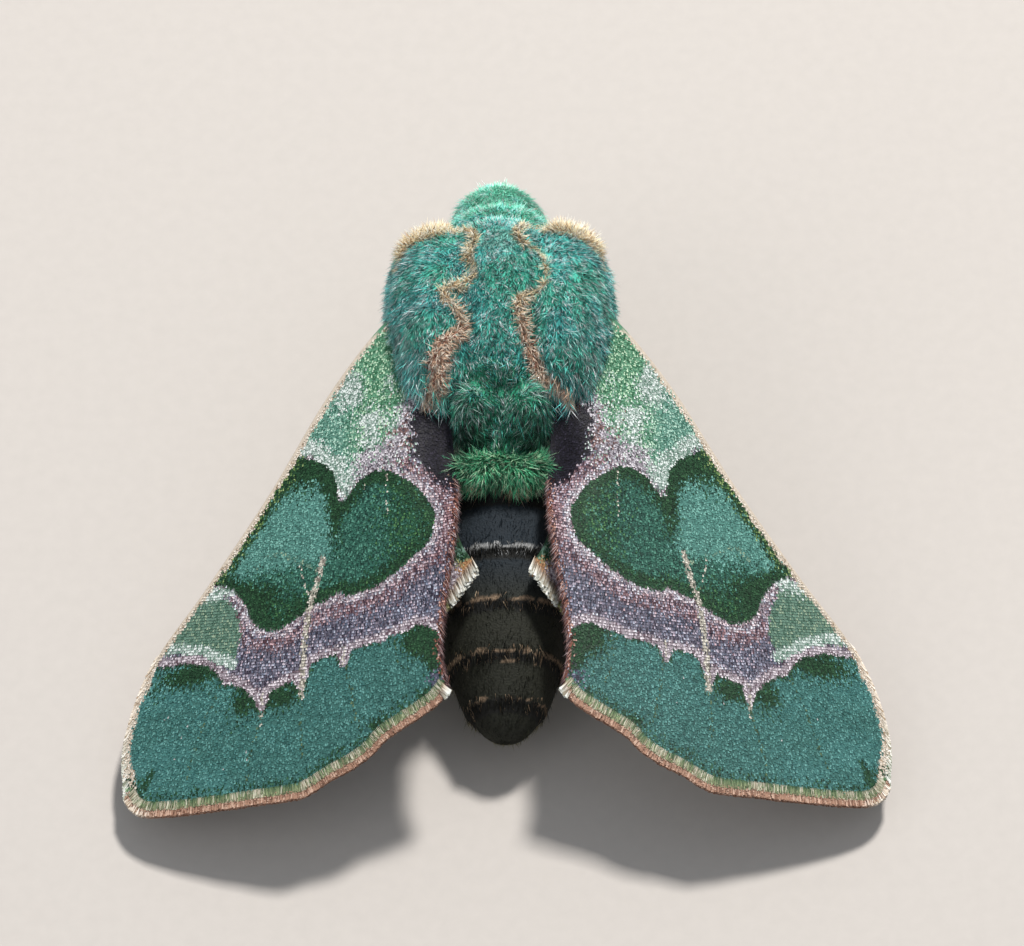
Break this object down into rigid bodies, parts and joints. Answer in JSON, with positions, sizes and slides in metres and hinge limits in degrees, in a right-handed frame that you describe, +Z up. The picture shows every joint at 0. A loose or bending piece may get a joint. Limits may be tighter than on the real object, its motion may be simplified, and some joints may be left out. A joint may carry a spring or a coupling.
{
  "type": "hawk moth",
  "caption": "Life-size hawk moth at rest on its legs, with a furry green thorax and marked wings folded back like a low roof.",
  "frame": {"origin": "on the floor under the middle of the body's box", "axes": "+X to the moth's right, +Y towards its head, +Z up"},
  "size_m": [0.0332, 0.0296, 0.0119],
  "materials": {
    "green_coat": "dense hair-like scales, blue-green, with pale tan lines along the shoulder flaps",
    "crest_coat": "a brush of longer yellowish-green hair scales",
    "dark_coat": "short flat near-black scales, each ring edged with pale hairs",
    "forewing_scales": "flat overlapping scales, teal and dark green areas parted by lilac-white bands",
    "hindwing_scales": "flat overlapping scales, tan with a dark border and a pale fringe",
    "eye": "glossy dark brown, finely faceted",
    "horn": "satin pale tan",
    "leg_scales": "flat grey-tan scales"
  },
  "bodies": {
    "root": {"head": "green_coat", "collar": "green_coat", "thorax": "green_coat", "tegula_left": "green_coat", "tegula_right": "green_coat", "palp_left": "green_coat", "palp_right": "green_coat", "crest": "crest_coat", "abdomen_1": "dark_coat", "abdomen_2": "dark_coat", "abdomen_3": "dark_coat", "abdomen_4": "dark_coat", "abdomen_5": "dark_coat", "abdomen_tip": "dark_coat", "forewing_left": "forewing_scales", "forewing_right": "forewing_scales", "hindwing_left": "hindwing_scales", "hindwing_right": "hindwing_scales", "eye_left": "eye", "eye_right": "eye", "antenna_left": "horn", "antenna_right": "horn", "proboscis": "horn", "femur_fore_left": "leg_scales", "tibia_fore_left": "leg_scales", "tarsus_fore_left": "leg_scales", "femur_fore_right": "leg_scales", "tibia_fore_right": "leg_scales", "tarsus_fore_right": "leg_scales", "femur_mid_left": "leg_scales", "tibia_mid_left": "leg_scales", "tarsus_mid_left": "leg_scales", "femur_mid_right": "leg_scales", "tibia_mid_right": "leg_scales", "tarsus_mid_right": "leg_scales", "femur_hind_left": "leg_scales", "tibia_hind_left": "leg_scales", "tarsus_hind_left": "leg_scales", "femur_hind_right": "leg_scales", "tibia_hind_right": "leg_scales", "tarsus_hind_right": "leg_scales"}
  },
  "joints": []
}
